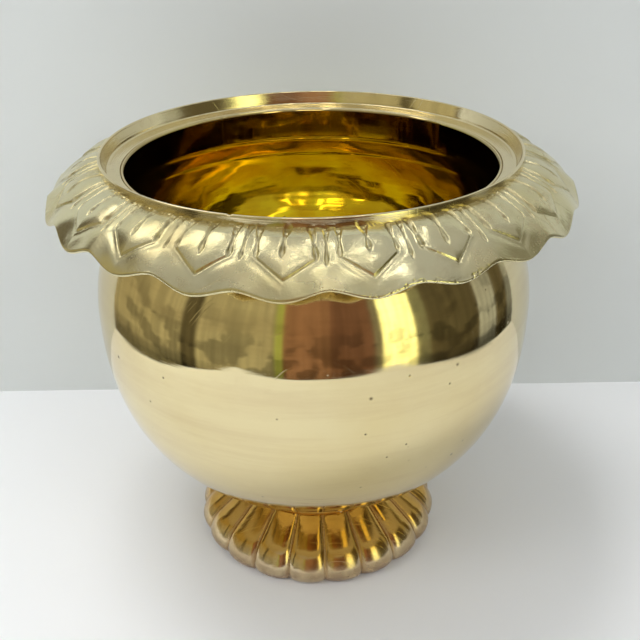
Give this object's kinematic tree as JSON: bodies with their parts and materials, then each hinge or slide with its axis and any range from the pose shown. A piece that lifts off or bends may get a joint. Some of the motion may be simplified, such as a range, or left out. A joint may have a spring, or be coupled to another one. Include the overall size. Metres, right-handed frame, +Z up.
{
  "type": "brass planter pot",
  "caption": "Round polished brass planter bowl with a flat ledge and upright lip at the mouth, a scalloped drooping collar and a fluted ring foot.",
  "frame": {"origin": "on the surface it stands on, at the centre of the foot", "axes": "+Z up along the axis that bowl, collar and foot share; -Y is the front, where a petal's middle stands about 5 degrees to the left"},
  "size_m": [0.2458, 0.2452, 0.2127],
  "materials": {
    "bowl_brass": "spun brass sheet, mirror polished, with light pits and scratches",
    "collar_brass": "cast brass, satin skirt with hand-cut lines, turned and polished ledge and lip",
    "foot_brass": "cast brass, polished lobes with warm brown tarnish in the grooves and low down",
    "solder": "brazing alloy, as run, dull"
  },
  "bodies": {
    "root": {"bowl": "bowl_brass", "collar": "collar_brass", "foot": "foot_brass", "collar_solder": "solder", "foot_solder": "solder"}
  },
  "joints": []
}
